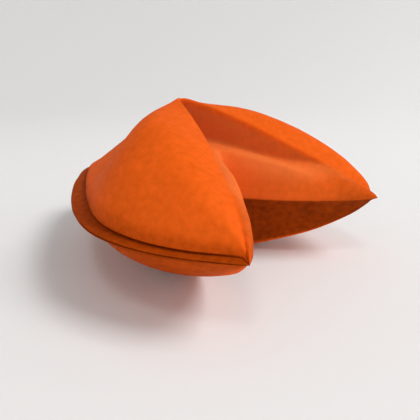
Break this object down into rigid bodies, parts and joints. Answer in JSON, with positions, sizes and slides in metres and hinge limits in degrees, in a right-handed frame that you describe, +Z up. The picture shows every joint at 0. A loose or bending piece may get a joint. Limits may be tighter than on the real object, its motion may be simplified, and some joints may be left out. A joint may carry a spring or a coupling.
{
  "type": "fortune cookie",
  "caption": "Shut fortune cookie: a thin round wafer folded in half over itself and bent at its middle into a V, with two rounded lobes, pointed tips and a pressed edge round its outside.",
  "frame": {"origin": "bottom centre of the bounding box: under the middle of the cookie, on the surface that it rests on", "axes": "+Z up, X across the cookie from lobe to lobe, -Y towards the two tips and the notch between them, +Y towards the pressed edge at the back"},
  "size_m": [0.0528, 0.062, 0.0295],
  "materials": {
    "wafer": "satin"
  },
  "bodies": {
    "root": {"fortune_cookie": "wafer"}
  },
  "joints": []
}
